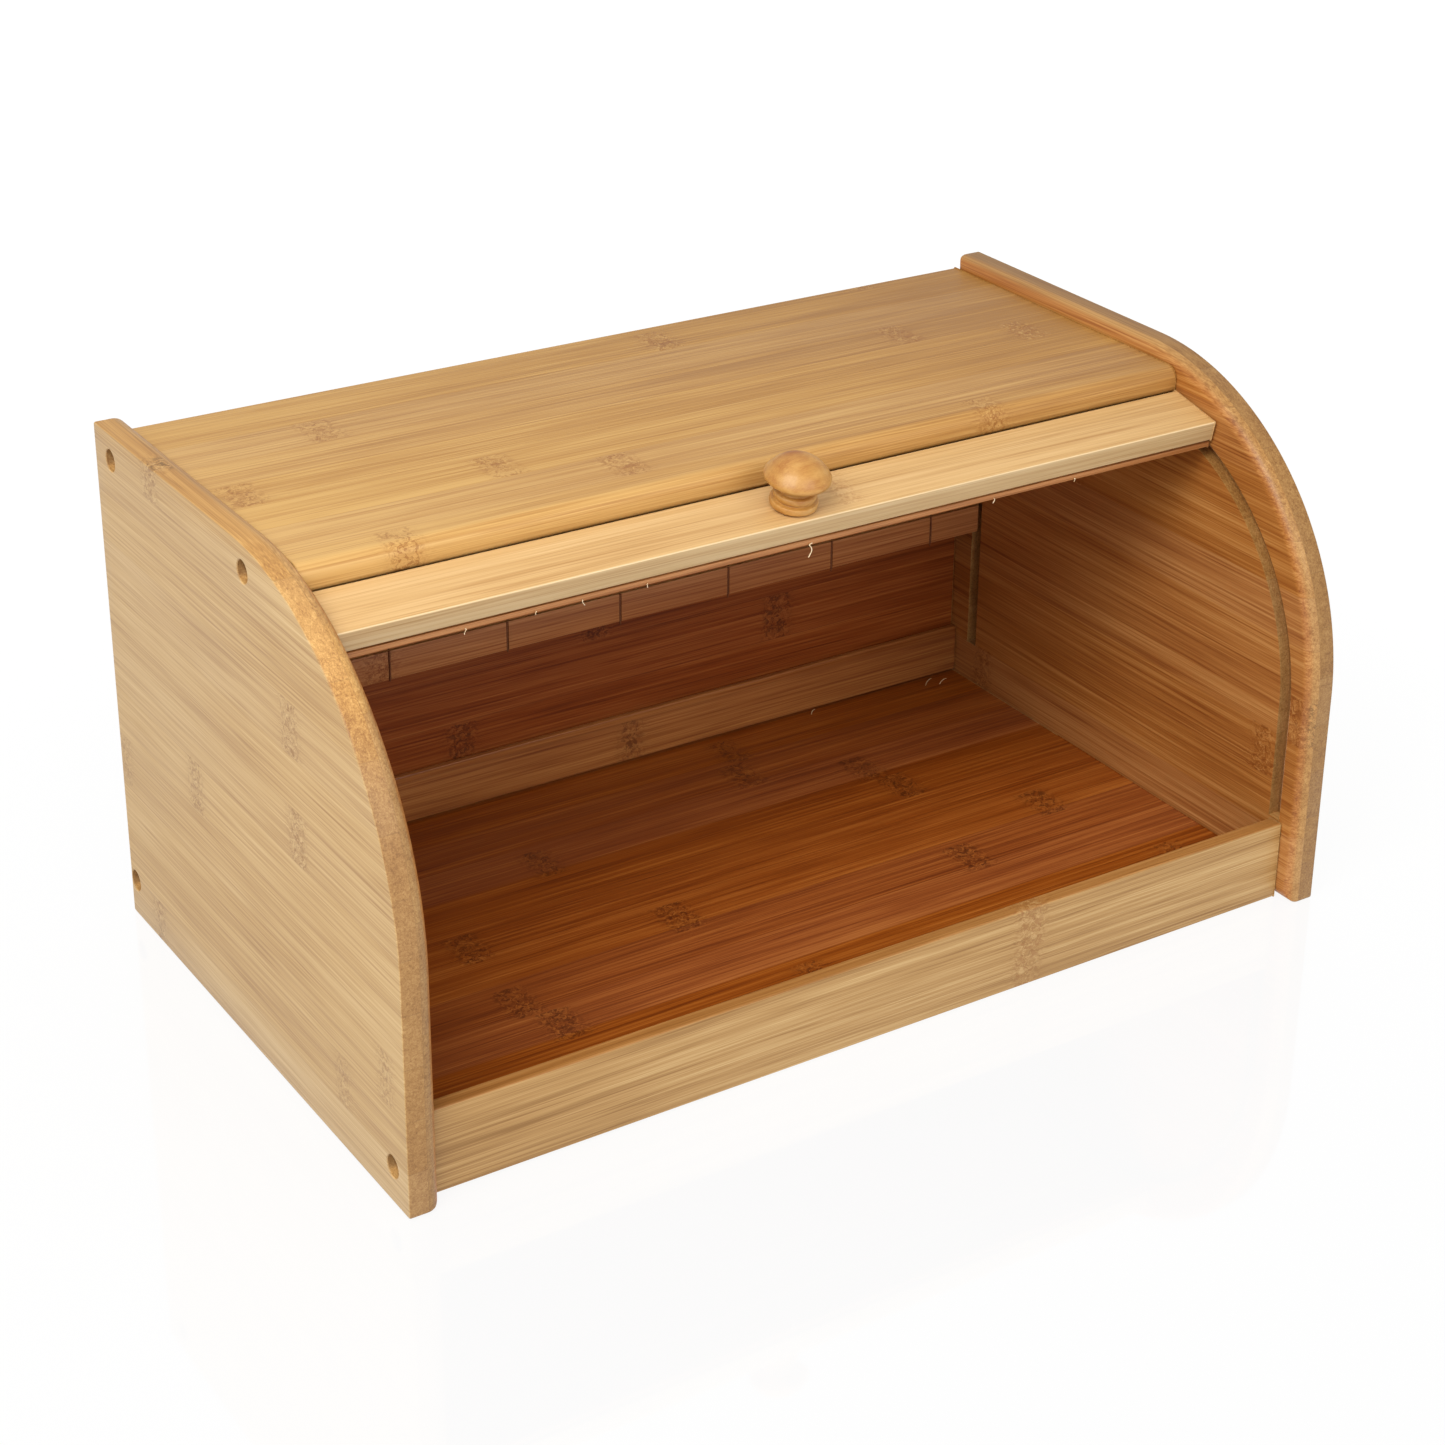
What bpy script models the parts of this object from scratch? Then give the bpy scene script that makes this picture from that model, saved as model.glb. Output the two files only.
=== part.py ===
"""Bamboo bread box with a roll-top (tambour) door.

Frame: metres, +Z up, the door faces -Y, +X is the right-hand side panel.
The origin is the middle of the footprint, on the surface the box stands on.
The door is drawn rolled up, the way the box stands open.

The door is a chain of slats.  Every slat hinges on its neighbour along the
line of the cords that string them together, and the whole chain runs in a
track routed into the inner faces of the two side panels.
"""
import math

import bmesh
import bpy
from mathutils import Matrix, Vector

# ------------------------------------------------------------ driving sizes
WIDTH = 0.400            # over the two side panels
DEPTH = 0.237            # side panel, front to back
HEIGHT = 0.204           # side panel, floor to top edge
SIDE_T = 0.012           # side panel thickness
SIDE_R = 0.114           # radius of the side panel's rounded front top
EDGE_ROUND = 0.005       # roundover on the side panels' inner edges
EDGE_EASE = 0.0007       # eased outer edges

TOP_T = 0.011            # top panel
TOP_DROP = 0.005         # the top panel lies this far under the side panels' top
TOP_FRONT_Y = -0.0287
TOP_NOSE_R = 0.005

RAIL_T = 0.0068          # front rail
RAIL_FRONT_Y = -0.1103
RAIL_TOP_Z = 0.0335
RAIL_BOTTOM_Z = 0.0

FLOOR_T = 0.006
FLOOR_TOP_Z = 0.0115

BACK_T = 0.0092
BACK_STRIP_T = 0.0031    # strip glued along the foot of the back panel
BACK_STRIP_TOP_Z = 0.0336

GAP = 0.0003             # between pieces that touch

TRACK_W = 0.0062         # routed groove, width and depth
TRACK_DEPTH = 0.006
TRACK_ARC_Y = -0.0063    # centre of the track's front curve
TRACK_ARC_Z = 0.0815
TRACK_ARC_R = 0.0982     # radius of the line of the hinges, not of the groove
TRACK_BACK_Y = 0.0939
TRACK_BACK_R = 0.050
TRACK_FOOT_FRONT = 0.0338
TRACK_FOOT_BACK = 0.029

SLAT_COUNT = 15
SLAT_T = 0.0034
SLAT_UNDER = 0.0008      # the cord line lies this far above the slats' inner face
SLAT_END_X = 0.1874
SLAT_SPLIT = 0.0003      # half of the gap between two slats
SLAT_TAIL_Z = 0.0845     # lower edge of the last slat, door open
BASE_SLAT = 6            # the slat that carries the chain

PULL_HINGE_Y = -0.0265   # rear hinge line of the pull rail, door open
PULL_TILT = math.radians(12.1)
PULL_LEN = 0.0258
PULL_T = 0.0089
PULL_TOP_N = 0.0128      # pull rail's outer face over the hinge line
PULL_END_X = 0.1870
TONGUE_N0 = 0.0003
TONGUE_N1 = 0.0033
TONGUE_LEN = 0.0250
PULL_CLOSED_Z = 0.0339   # lower edge of the pull rail, door shut

KNOB_X = -0.0030
KNOB_A = 0.0149          # along the pull rail, from its hinge line
KNOB_H = 0.0201

SCREW_HEAD_R = 0.0036
SCREW_HEAD_H = 0.0024
SCREW_R = 0.0016
SCREW_LEN = 0.030
BORE_R = 0.0042          # counterbore
BORE_DEPTH = 0.0055
HOLE_R = 0.0020
SCREWS = {               # name: (y, z)
    "top_rear": (0.1040, 0.1935),
    "top_front": (-0.0112, 0.1935),
    "bottom_rear": (0.1136, 0.0154),
    "bottom_front": (-0.1069, 0.0145),
}

# ------------------------------------------------------------ the track line
TRACK_TOP_Z = TRACK_ARC_Z + TRACK_ARC_R
TRACK_FRONT_Y = TRACK_ARC_Y - TRACK_ARC_R


def track_point(s, off=0.0):
    """(y, z) at length s along the hinge line, from floor level up the front,
    over the top and down the back, moved outwards by off."""
    r1, r2 = TRACK_ARC_R, TRACK_BACK_R
    l1, l2 = TRACK_ARC_Z, TRACK_ARC_R * math.pi / 2
    l3, l4 = TRACK_BACK_Y - r2 - TRACK_ARC_Y, r2 * math.pi / 2
    if s < l1:
        return (TRACK_FRONT_Y - off, s)
    s -= l1
    if s < l2:
        a = s / r1
        return (TRACK_ARC_Y - (r1 + off) * math.cos(a), TRACK_ARC_Z + (r1 + off) * math.sin(a))
    s -= l2
    if s < l3:
        return (TRACK_ARC_Y + s, TRACK_TOP_Z + off)
    s -= l3
    if s < l4:
        a = s / r2
        return (TRACK_BACK_Y - r2 + (r2 + off) * math.sin(a),
                TRACK_TOP_Z - r2 + (r2 + off) * math.cos(a))
    s -= l4
    return (TRACK_BACK_Y + off, TRACK_TOP_Z - r2 - s)


TRACK_LEN_FRONT = TRACK_ARC_Z + TRACK_ARC_R * math.pi / 2
TRACK_S_BACK_FOOT = (TRACK_LEN_FRONT + TRACK_BACK_Y - TRACK_BACK_R - TRACK_ARC_Y
                     + TRACK_BACK_R * math.pi / 2 + TRACK_TOP_Z - TRACK_BACK_R - TRACK_FOOT_BACK)


def bisect(f, lo, hi):
    """The x where f changes from True to False."""
    for _ in range(60):
        mid = (lo + hi) / 2
        if f(mid):
            lo = mid
        else:
            hi = mid
    return (lo + hi) / 2


def walk(s0, pitch, count):
    """Hinge points a chord of one pitch apart, starting at s0."""
    s, pts = s0, [track_point(s0)]
    for _ in range(count):
        a = pts[-1]
        s = bisect(lambda m: math.hypot(track_point(m)[0] - a[0], track_point(m)[1] - a[1]) < pitch,
                   s + pitch * 0.9, s + pitch * 1.3)
        pts.append(track_point(s))
    return pts


def tilt(front, rear):
    """Angle of a slat above the level, looking forwards: 0 lies flat,
    -90 degrees hangs down in front, +90 degrees hangs down behind."""
    return math.atan2(front[1] - rear[1], rear[0] - front[0])


S_OPEN = bisect(lambda s: track_point(s)[0] < PULL_HINGE_Y, TRACK_ARC_Z, TRACK_LEN_FRONT)
S_SHUT = PULL_CLOSED_Z + PULL_LEN
PITCH = bisect(lambda p: walk(S_OPEN, p, SLAT_COUNT)[-1][1] > SLAT_TAIL_Z - SLAT_SPLIT, 0.008, 0.024)
OPEN = walk(S_OPEN, PITCH, SLAT_COUNT)      # hinge i is the rear end of slat i, 0 is the pull rail
SHUT = walk(S_SHUT, PITCH, SLAT_COUNT)
TILT_OPEN = [-PULL_TILT] + [tilt(OPEN[i], OPEN[i + 1]) for i in range(SLAT_COUNT)]
TILT_SHUT = [-math.pi / 2] + [tilt(SHUT[i], SHUT[i + 1]) for i in range(SLAT_COUNT)]
for _i in range(1, SLAT_COUNT + 1):         # the loose tail droops a little in the track
    if TILT_SHUT[_i] > math.radians(-2.0):
        TILT_SHUT[_i] = TILT_SHUT[_i - 1] + math.radians(1.5) if TILT_SHUT[_i - 1] > math.radians(-2.0) else TILT_SHUT[_i]
TURN = [TILT_OPEN[i] - TILT_SHUT[i] for i in range(SLAT_COUNT + 1)]   # about +X, open to shut


def base_pivot():
    """The fixed line that carries the base slat from open to shut."""
    a, b = OPEN[BASE_SLAT - 1], SHUT[BASE_SLAT - 1]
    h = 0.5 / math.tan(TURN[BASE_SLAT] / 2)
    return ((a[0] + b[0]) / 2 - h * (b[1] - a[1]), (a[1] + b[1]) / 2 + h * (b[0] - a[0]))


PIVOT = base_pivot()


def joint_of(i):
    """(y, z) of the hinge line of slat i; 0 is the pull rail."""
    if i == BASE_SLAT:
        return PIVOT
    return OPEN[i] if i < BASE_SLAT else OPEN[i - 1]


# ------------------------------------------------------------ helpers
for _o in list(bpy.data.objects):
    bpy.data.objects.remove(_o, do_unlink=True)

SCENE = bpy.context.scene.collection


def material(name, rgb, rough, metal=0.0):
    m = bpy.data.materials.new(name)
    m.use_nodes = True
    b = m.node_tree.nodes.get("Principled BSDF")
    b.inputs["Base Color"].default_value = (rgb[0], rgb[1], rgb[2], 1.0)
    b.inputs["Roughness"].default_value = rough
    b.inputs["Metallic"].default_value = metal
    m.diffuse_color = (rgb[0], rgb[1], rgb[2], 1.0)
    return m


BAMBOO_SIDE = (0.60, 0.42, 0.23)
BAMBOO_TOP = (0.56, 0.35, 0.14)
BAMBOO_PALE = (0.68, 0.50, 0.27)
BAMBOO_INNER = (0.48, 0.26, 0.09)
KNOB_WOOD = (0.62, 0.35, 0.11)
STEEL = (0.62, 0.62, 0.60)


def add(name, bm, mat, location=(0, 0, 0), turn_x=0.0, smooth=None, parent=None):
    """Turn a bmesh in world coordinates into an object whose origin is at
    location, turned by turn_x about X."""
    bmesh.ops.recalc_face_normals(bm, faces=bm.faces)
    place = Matrix.Translation(Vector(location)) @ Matrix.Rotation(turn_x, 4, "X")
    bm.transform(place.inverted())
    me = bpy.data.meshes.new(name)
    bm.to_mesh(me)
    bm.free()
    if smooth is not None:
        me.shade_smooth()
        me.set_sharp_from_angle(angle=math.radians(smooth))
    ob = bpy.data.objects.new(name, me)
    SCENE.objects.link(ob)
    me.materials.append(mat)
    if parent is None:
        ob.location = location
        ob.rotation_euler = (turn_x, 0, 0)
    else:
        ob.parent = parent
        ob.matrix_parent_inverse = Matrix.Identity(4)
    return ob


def rings(bm, loops):
    """Skin closed loops of equal length and cap the two ends."""
    rows = [[bm.verts.new(p) for p in loop] for loop in loops]
    n = len(rows[0])
    for a, b in zip(rows, rows[1:]):
        for k in range(n):
            bm.faces.new((a[k], a[(k + 1) % n], b[(k + 1) % n], b[k]))
    bm.faces.new(rows[0])
    bm.faces.new(list(reversed(rows[-1])))


def bar(profile, x0, x1, ease=0.0):
    """A straight bar along X with a (y, z) profile; ease chamfers its ends."""
    bm = bmesh.new()
    cy = sum(p[0] for p in profile) / len(profile)
    cz = sum(p[1] for p in profile) / len(profile)

    def loop(x, inset):
        out = []
        for y, z in profile:
            dy, dz = y - cy, z - cz
            out.append((x, y - math.copysign(min(inset, abs(dy)), dy),
                        z - math.copysign(min(inset, abs(dz)), dz)))
        return out

    if ease:
        rings(bm, [loop(x0, ease), loop(x0 + ease, 0), loop(x1 - ease, 0), loop(x1, ease)])
    else:
        rings(bm, [loop(x0, 0), loop(x1, 0)])
    return bm


def box_profile(y0, y1, z0, z1, r=0.0006, corners=None, seg=2):
    """Rectangle with rounded corners, counter-clockwise from the low front
    corner; corners overrides the four radii."""
    rr = corners or (r, r, r, r)
    pts = []
    for (cy, cz, a0), q in zip(((y0, z0, 180), (y1, z0, 270), (y1, z1, 0), (y0, z1, 90)), rr):
        sy = 1 if cy == y0 else -1
        sz = 1 if cz == z0 else -1
        n = seg if q < 0.002 else 6
        if q <= 0:
            pts.append((cy, cz))
            continue
        for k in range(n + 1):
            a = math.radians(a0 + 90 * k / n)
            pts.append((cy + sy * q + q * math.cos(a), cz + sz * q + q * math.sin(a)))
    return pts


def round_solid(profile, seg=32):
    """Turned solid about +Z; profile is (radius, height) from the bottom up,
    starting and ending on the axis."""
    bm = bmesh.new()
    ring = []
    for r, h in profile:
        if r < 1e-7:
            ring.append([bm.verts.new((0, 0, h))])
        else:
            ring.append([bm.verts.new((r * math.cos(2 * math.pi * k / seg),
                                       r * math.sin(2 * math.pi * k / seg), h)) for k in range(seg)])
    for a, b in zip(ring, ring[1:]):
        for k in range(seg):
            k2 = (k + 1) % seg
            if len(a) == 1:
                bm.faces.new((a[0], b[k], b[k2]))
            elif len(b) == 1:
                bm.faces.new((a[k], b[0], a[k2]))
            else:
                bm.faces.new((a[k], b[k], b[k2], a[k2]))
    return bm


def cutter(name, bm):
    ob = add(name, bm, CUT_MAT)
    ob.hide_render = True
    ob.display_type = "WIRE"
    return ob


def cut(ob, tool, name):
    m = ob.modifiers.new(name, "BOOLEAN")
    m.operation = "DIFFERENCE"
    m.solver = "EXACT"
    m.object = tool


CUT_MAT = material("cutting_tool", (0.5, 0.5, 0.5), 0.5)

# ------------------------------------------------------------ side panels


def side_outline(inset, seg=28):
    y0, y1, zt = -DEPTH / 2, DEPTH / 2, HEIGHT
    cy, cz = y0 + SIDE_R, zt - SIDE_R
    r = SIDE_R - inset
    pts = [(y1 - inset, inset), (y1 - inset, zt - inset)]
    for k in range(seg + 1):
        a = math.radians(90 + 90 * k / seg)
        pts.append((cy + r * math.cos(a), cz + r * math.sin(a)))
    pts.append((y0 + inset, inset))
    return pts


def side_panel(side):
    """side is -1 for the left panel and +1 for the right one."""
    bm = bmesh.new()
    outer, inner = side * WIDTH / 2, side * (WIDTH / 2 - SIDE_T)
    steps = [(outer, EDGE_EASE), (outer - side * EDGE_EASE, 0.0)]
    for k in range(0, 5):
        a = math.radians(90 * k / 4)
        steps.append((inner + side * EDGE_ROUND * (1 - math.sin(a)), EDGE_ROUND * (1 - math.cos(a))))
    rings(bm, [[(x, y, z) for y, z in side_outline(inset)] for x, inset in steps])
    return bm


def track_cutter(side):
    """The groove: a band of TRACK_W round the track line, cut from inside."""
    mid = SLAT_T / 2 - SLAT_UNDER
    n_front, n_back = 22, 12
    s_values = [TRACK_FOOT_FRONT]
    s_values += [TRACK_ARC_Z + TRACK_ARC_R * math.pi / 2 * k / n_front for k in range(n_front + 1)]
    s_b = TRACK_LEN_FRONT + TRACK_BACK_Y - TRACK_BACK_R - TRACK_ARC_Y
    s_values += [s_b + TRACK_BACK_R * math.pi / 2 * k / n_back for k in range(n_back + 1)]
    s_values += [TRACK_S_BACK_FOOT]
    outside = [track_point(s, mid + TRACK_W / 2) for s in s_values]
    inside = [track_point(s, mid - TRACK_W / 2) for s in s_values]
    profile = outside + list(reversed(inside))
    bm = bmesh.new()
    face = side * (WIDTH / 2 - SIDE_T)
    x0, x1 = face - side * 0.002, face + side * TRACK_DEPTH
    rings(bm, [[(x0, y, z) for y, z in profile], [(x1, y, z) for y, z in profile]])
    return bm


def rod_x(y, z, r, x0, x1, seg=20):
    bm = bmesh.new()
    rings(bm, [[(x, y + r * math.cos(2 * math.pi * k / seg), z + r * math.sin(2 * math.pi * k / seg))
                for k in range(seg)] for x in (x0, x1)])
    return bm


bamboo_side = material("bamboo_side", BAMBOO_SIDE, 0.55)
bamboo_top = material("bamboo_top", BAMBOO_TOP, 0.5)
bamboo_pale = material("bamboo_pale", BAMBOO_PALE, 0.5)
bamboo_inner = material("bamboo_inner", BAMBOO_INNER, 0.6)
knob_wood = material("knob_wood", KNOB_WOOD, 0.4)
steel = material("screw_steel", STEEL, 0.3, 1.0)

for side, label in ((-1, "left"), (1, "right")):
    panel = add("side_panel_" + label, side_panel(side), bamboo_side, smooth=35)
    cut(panel, cutter("cut_track_" + label, track_cutter(side)), "track")
    outer = side * WIDTH / 2
    for where, (y, z) in SCREWS.items():
        seat = outer - side * BORE_DEPTH
        wide = rod_x(y, z, BORE_R, outer + side * 0.002, seat, 24)
        cut(panel, cutter("cut_bore_%s_%s" % (label, where), wide), "bore_" + where)
        thin = rod_x(y, z, HOLE_R, outer + side * 0.002, outer - side * (SIDE_T + 0.002), 16)
        cut(panel, cutter("cut_hole_%s_%s" % (label, where), thin), "hole_" + where)
        # pan head screw, its head seated in the counterbore
        under = seat + side * 0.0002
        prof = [(0.0, 0.0), (SCREW_R * 0.35, 0.0), (SCREW_R, 0.0035), (SCREW_R, SCREW_LEN),
                (SCREW_HEAD_R, SCREW_LEN), (SCREW_HEAD_R, SCREW_LEN + SCREW_HEAD_H * 0.55),
                (SCREW_HEAD_R * 0.86, SCREW_LEN + SCREW_HEAD_H * 0.88),
                (SCREW_HEAD_R * 0.55, SCREW_LEN + SCREW_HEAD_H), (0.0, SCREW_LEN + SCREW_HEAD_H)]
        bm = round_solid(prof, 16)
        # +Z of the turned solid points out of the panel
        bm.transform(Matrix.Translation((under - side * SCREW_LEN, y, z))
                     @ Matrix.Rotation(side * math.pi / 2, 4, "Y"))
        add("screw_%s_%s" % (label, where), bm, steel, location=(under, y, z), smooth=40)

INNER_X = WIDTH / 2 - SIDE_T - GAP
PILOT_X = WIDTH / 2 - BORE_DEPTH - SCREW_LEN - 0.0015


def pilot_holes(ob, wheres):
    for side in (-1, 1):
        for where in wheres:
            y, z = SCREWS[where]
            tool = rod_x(y, z, HOLE_R, side * (INNER_X + 0.002), side * PILOT_X, 16)
            cut(ob, cutter("cut_pilot_%s_%d_%s" % (ob.name, side, where), tool), "pilot_%d_%s" % (side, where))


# ------------------------------------------------------------ fixed boards
top_z1 = HEIGHT - TOP_DROP
top = add("top_panel", bar(box_profile(TOP_FRONT_Y, DEPTH / 2, top_z1 - TOP_T, top_z1,
                                       corners=(0.002, 0.0006, 0.0008, TOP_NOSE_R), seg=3),
                           -INNER_X, INNER_X), bamboo_top, smooth=35)
pilot_holes(top, ("top_rear", "top_front"))

back = add("back_panel", bar(box_profile(DEPTH / 2 - BACK_T, DEPTH / 2, 0.0, top_z1 - TOP_T - GAP, r=0.0005),
                             -INNER_X, INNER_X), bamboo_inner, smooth=35)
pilot_holes(back, ("bottom_rear",))

rail = add("front_rail", bar(box_profile(RAIL_FRONT_Y, RAIL_FRONT_Y + RAIL_T, RAIL_BOTTOM_Z, RAIL_TOP_Z,
                                         corners=(0.0006, 0.0006, 0.0010, 0.0012), seg=3),
                             -INNER_X, INNER_X), bamboo_pale, smooth=35)
pilot_holes(rail, ("bottom_front",))

back_front_y = DEPTH / 2 - BACK_T
add("bottom_panel", bar(box_profile(RAIL_FRONT_Y + RAIL_T + GAP, back_front_y - GAP,
                                    FLOOR_TOP_Z - FLOOR_T, FLOOR_TOP_Z, r=0.0004),
                        -INNER_X, INNER_X), bamboo_inner, smooth=35)
add("back_strip", bar(box_profile(back_front_y - GAP - BACK_STRIP_T, back_front_y - GAP,
                                  FLOOR_TOP_Z + GAP, BACK_STRIP_TOP_Z, corners=(0.0002, 0.0002, 0.0002, 0.0008)),
                      -INNER_X, INNER_X), bamboo_inner, smooth=35)

# ------------------------------------------------------------ the slats


def on_slat(origin, angle, a, n):
    """(y, z) of a point a ahead of a hinge line and n outside it."""
    c, s = math.cos(angle), math.sin(angle)
    return (origin[0] - a * c + n * s, origin[1] + a * s + n * c)


def slat_profile(origin, angle, a0, a1, n0, n1, r_out=0.0007, r_in=0.0004):
    """Rounded rectangle in slat coordinates, as world (y, z) points."""
    pts = box_profile(-a1, -a0, n0, n1, corners=(r_in, r_in, r_out, r_out), seg=2)
    return [on_slat(origin, angle, -y, z) for y, z in pts]


for i in range(1, SLAT_COUNT + 1):
    prof = slat_profile(OPEN[i], TILT_OPEN[i], SLAT_SPLIT, PITCH - SLAT_SPLIT,
                        -SLAT_UNDER, SLAT_T - SLAT_UNDER)
    jy, jz = joint_of(i)
    add("slat_%02d" % i, bar(prof, -SLAT_END_X, SLAT_END_X), bamboo_pale,
        location=(0.0, jy, jz), turn_x=-TILT_OPEN[i], smooth=35)

# ------------------------------------------------------------ pull rail and knob
hinge = (0.0, OPEN[0][0], OPEN[0][1])
door_pull = bpy.data.objects.new("door_pull", None)      # on the first hinge line
SCENE.objects.link(door_pull)
door_pull.location = hinge
door_pull.rotation_euler = (PULL_TILT, 0, 0)

rail_prof = slat_profile(OPEN[0], -PULL_TILT, 0.0, PULL_LEN, PULL_TOP_N - PULL_T, PULL_TOP_N,
                         r_out=0.0008, r_in=0.0005)
pull = add("pull_rail", bar(rail_prof, -PULL_END_X, PULL_END_X), bamboo_pale, location=hinge,
           turn_x=PULL_TILT, smooth=35, parent=door_pull)
tongue_prof = slat_profile(OPEN[0], -PULL_TILT, SLAT_SPLIT, TONGUE_LEN, TONGUE_N0, TONGUE_N1)
tongue = add("pull_rail_tongue", bar(tongue_prof, -PULL_END_X, PULL_END_X), bamboo_pale,
             location=hinge, turn_x=PULL_TILT, smooth=35, parent=door_pull)

# the knob stands square to the pull rail's outer face
knob_y, knob_z = on_slat(OPEN[0], -PULL_TILT, KNOB_A, PULL_TOP_N)
AXLE = Matrix.Translation((KNOB_X, knob_y, knob_z)) @ Matrix.Rotation(PULL_TILT, 4, "X")


def knob_profile():
    foot = [(0.0084, 0.0002), (0.0089, 0.0007), (0.0089, 0.0024), (0.0085, 0.0029)]
    neck = [(0.0079, 0.0031), (0.0081, 0.0037), (0.0079, 0.0048), (0.0070, 0.0062),
            (0.0065, 0.0066), (0.0067, 0.0074), (0.0072, 0.0085), (0.0084, 0.0097)]
    cap = [(0.0108, 0.0106), (0.0118, 0.0113), (0.0122, 0.0123)]
    for k in range(1, 9):
        a = math.radians(90 * k / 8)
        cap.append((0.0122 * math.cos(a), 0.0123 + (KNOB_H - 0.0123) * math.sin(a)))
    cap[-1] = (0.0, KNOB_H)
    return [(0.0, 0.0002)] + foot + neck + cap


bm = round_solid(knob_profile(), 32)
bm.transform(AXLE)
knob = add("knob", bm, knob_wood, location=hinge, turn_x=PULL_TILT, smooth=35, parent=door_pull)


def on_axle(profile, seg):
    b = round_solid(profile, seg)
    b.transform(AXLE)
    return b


under = -(PULL_TOP_N - TONGUE_N0)            # inner face of the tongue, from the knob's foot
KNOB_SCREW_R, KNOB_SCREW_HEAD_R, KNOB_SCREW_TIP = 0.0015, 0.0034, 0.0130
sink = [(0.0, under - 0.003), (0.0041, under - 0.003), (0.0041, under), (0.0020, under + 0.0022),
        (0.0020, KNOB_SCREW_TIP + 0.0010), (0.0, KNOB_SCREW_TIP + 0.0010)]
tool = cutter("cut_knob_screw", on_axle(sink, 20))
for ob in (tongue, pull, knob):
    cut(ob, tool, "knob_screw_hole")
screw = [(0.0, under + 0.0002), (KNOB_SCREW_HEAD_R, under + 0.0002), (KNOB_SCREW_R, under + 0.0022),
         (KNOB_SCREW_R, KNOB_SCREW_TIP - 0.0025), (0.0004, KNOB_SCREW_TIP), (0.0, KNOB_SCREW_TIP)]
add("knob_screw", on_axle(screw, 16), steel, location=hinge, turn_x=PULL_TILT, smooth=40, parent=door_pull)
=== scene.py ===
"""Looks of the roll-top bread box: laminated bamboo boards, tambour slats on
cords, a turned knob and sunk screws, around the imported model."""
import math
import random

import bmesh
import bpy
from mathutils import Matrix, Vector


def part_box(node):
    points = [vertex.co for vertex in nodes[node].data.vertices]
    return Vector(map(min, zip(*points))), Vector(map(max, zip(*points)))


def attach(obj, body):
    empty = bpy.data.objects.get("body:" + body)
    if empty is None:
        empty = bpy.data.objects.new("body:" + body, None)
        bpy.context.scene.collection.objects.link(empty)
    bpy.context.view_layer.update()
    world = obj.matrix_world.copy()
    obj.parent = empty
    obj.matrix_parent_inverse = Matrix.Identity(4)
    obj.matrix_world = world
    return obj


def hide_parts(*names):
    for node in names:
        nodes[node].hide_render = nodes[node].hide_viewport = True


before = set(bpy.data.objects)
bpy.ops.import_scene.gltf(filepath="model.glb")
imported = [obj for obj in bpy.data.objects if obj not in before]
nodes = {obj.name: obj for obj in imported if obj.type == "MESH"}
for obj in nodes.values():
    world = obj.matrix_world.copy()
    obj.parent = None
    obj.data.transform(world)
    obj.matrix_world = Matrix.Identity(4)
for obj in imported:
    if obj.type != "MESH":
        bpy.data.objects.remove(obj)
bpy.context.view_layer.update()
scene = bpy.context.scene

# ------------------------------------------------------------------ camera
CAM_AT = Vector((-0.54562, -0.84926, 0.59109))
look = Vector((0.51194, 0.75346, -0.41256)).normalized()
right = Vector((0.83194, -0.55453, 0.01961))
right = (right - look * right.dot(look)).normalized()
up = right.cross(look)
cam_data = bpy.data.cameras.new("camera")
cam = bpy.data.objects.new("camera", cam_data)
scene.collection.objects.link(cam)
cam.matrix_world = Matrix.Translation(CAM_AT) @ Matrix((right, up, -look)).transposed().to_4x4()
cam_data.sensor_width = 36.0
cam_data.lens = 2944.01 * 36.0 / 1445.0
cam_data.shift_x = (722.5 - 801.93) / 1445.0
cam_data.shift_y = (595.81 - 722.5) / 1445.0
cam_data.clip_start = 0.05
cam_data.clip_end = 100.0
scene.camera = cam
scene.view_settings.view_transform = "Standard"

# ------------------------------------------------------------- box geometry
WIDTH, DEPTH, HEIGHT = 0.400, 0.237, 0.204
SIDE_T, SIDE_R, EDGE_ROUND = 0.012, 0.114, 0.005
ARC_Y, ARC_Z, ARC_R = -0.0063, 0.0815, 0.0982      # hinge line of the track
BACK_Y, BACK_R = 0.0939, 0.050
TOP_Z = ARC_Z + ARC_R
FOOT_FRONT, FOOT_BACK = 0.0338, 0.029
TRACK_W, TRACK_DEPTH = 0.0062, 0.006
SLATS, SLAT_T, UNDER, SPLIT, SLAT_X = 15, 0.0034, 0.0008, 0.0003, 0.1874
TAIL_Z = 0.0845
PULL_Y, PULL_TILT = -0.0265, math.radians(12.1)
BORE_R, BORE_DEPTH, HOLE_R = 0.0042, 0.0055, 0.0020
HEAD_R = 0.0036
SCREWS = {"top_rear": (0.1040, 0.1935), "top_front": (-0.0112, 0.1935),
          "bottom_rear": (0.1136, 0.0154), "bottom_front": (-0.1069, 0.0145)}
CORDS = [-0.1505 + 0.052 * k for k in range(7)]


def track_point(s, off=0.0):
    """(y, z) at length s along the track: up the front, over, down the back."""
    l1, l2 = ARC_Z, ARC_R * math.pi / 2
    l3, l4 = BACK_Y - BACK_R - ARC_Y, BACK_R * math.pi / 2
    if s < l1:
        return (ARC_Y - ARC_R - off, s)
    s -= l1
    if s < l2:
        a = s / ARC_R
        return (ARC_Y - (ARC_R + off) * math.cos(a), ARC_Z + (ARC_R + off) * math.sin(a))
    s -= l2
    if s < l3:
        return (ARC_Y + s, TOP_Z + off)
    s -= l3
    if s < l4:
        a = s / BACK_R
        return (BACK_Y - BACK_R + (BACK_R + off) * math.sin(a),
                TOP_Z - BACK_R + (BACK_R + off) * math.cos(a))
    s -= l4
    return (BACK_Y + off, TOP_Z - BACK_R - s)


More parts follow.
